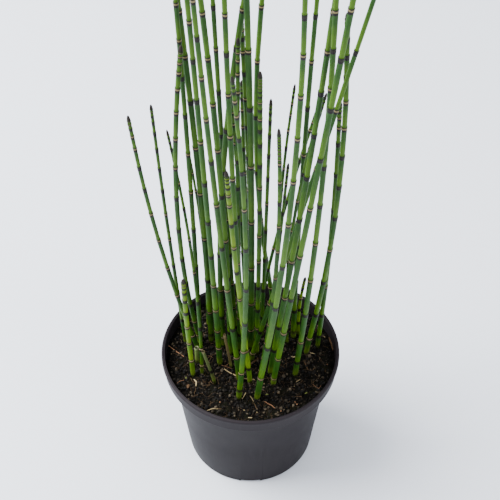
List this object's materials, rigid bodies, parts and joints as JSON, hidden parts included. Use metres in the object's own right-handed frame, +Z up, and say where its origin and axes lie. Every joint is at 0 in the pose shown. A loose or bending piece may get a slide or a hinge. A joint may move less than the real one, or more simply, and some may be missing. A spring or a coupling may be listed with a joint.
{
  "type": "potted rough horsetail",
  "caption": "Clump of upright jointed green stems with dark banded sheaths, growing from dark peat in a round black nursery pot.",
  "frame": {"origin": "on the floor at the pot's axis, the middle of the pot's underside", "axes": "+Z up along the pot's axis and the stems; -Y towards the side the picture shows, +X to its right"},
  "size_m": [0.2046, 0.1841, 0.685],
  "materials": {
    "black_plastic": "matt black moulded nursery-pot plastic, a little scuffed",
    "peat": "moist crumbly dark brown peat with brown fibres and bark crumbs",
    "stem_green": "satin grey-green to yellow-green stem with fine lengthwise ridges; dark toothed sheath and cream ring at each joint",
    "young_green": "satin yellow-green young stem with dark rings close together",
    "dead_brown": "dry dull straw-brown dead stem"
  },
  "bodies": {
    "root": {"pot": "black_plastic", "soil": "peat", "tall_stem_01": "stem_green", "tall_stem_02": "stem_green", "tall_stem_03": "stem_green", "tall_stem_04": "stem_green", "tall_stem_05": "stem_green", "tall_stem_06": "stem_green", "tall_stem_07": "stem_green", "tall_stem_08": "stem_green", "tall_stem_09": "stem_green", "tall_stem_10": "stem_green", "tall_stem_11": "stem_green", "tall_stem_12": "stem_green", "tall_stem_13": "stem_green", "tall_stem_14": "stem_green", "tall_stem_15": "stem_green", "tall_stem_16": "stem_green", "stem_01": "stem_green", "stem_02": "stem_green", "stem_03": "stem_green", "stem_04": "stem_green", "stem_05": "stem_green", "stem_06": "stem_green", "stem_07": "stem_green", "stem_08": "young_green", "stem_09": "stem_green", "stem_10": "stem_green", "stem_11": "stem_green", "stem_12": "stem_green", "stem_13": "stem_green", "stem_14": "stem_green", "stem_15": "stem_green", "stem_16": "stem_green", "stem_17": "stem_green", "stem_18": "stem_green", "stem_19": "stem_green", "stem_20": "stem_green", "short_shoot_1": "young_green", "short_shoot_2": "young_green", "old_stub_1": "dead_brown", "old_stub_2": "dead_brown", "old_stub_3": "dead_brown"}
  },
  "joints": []
}
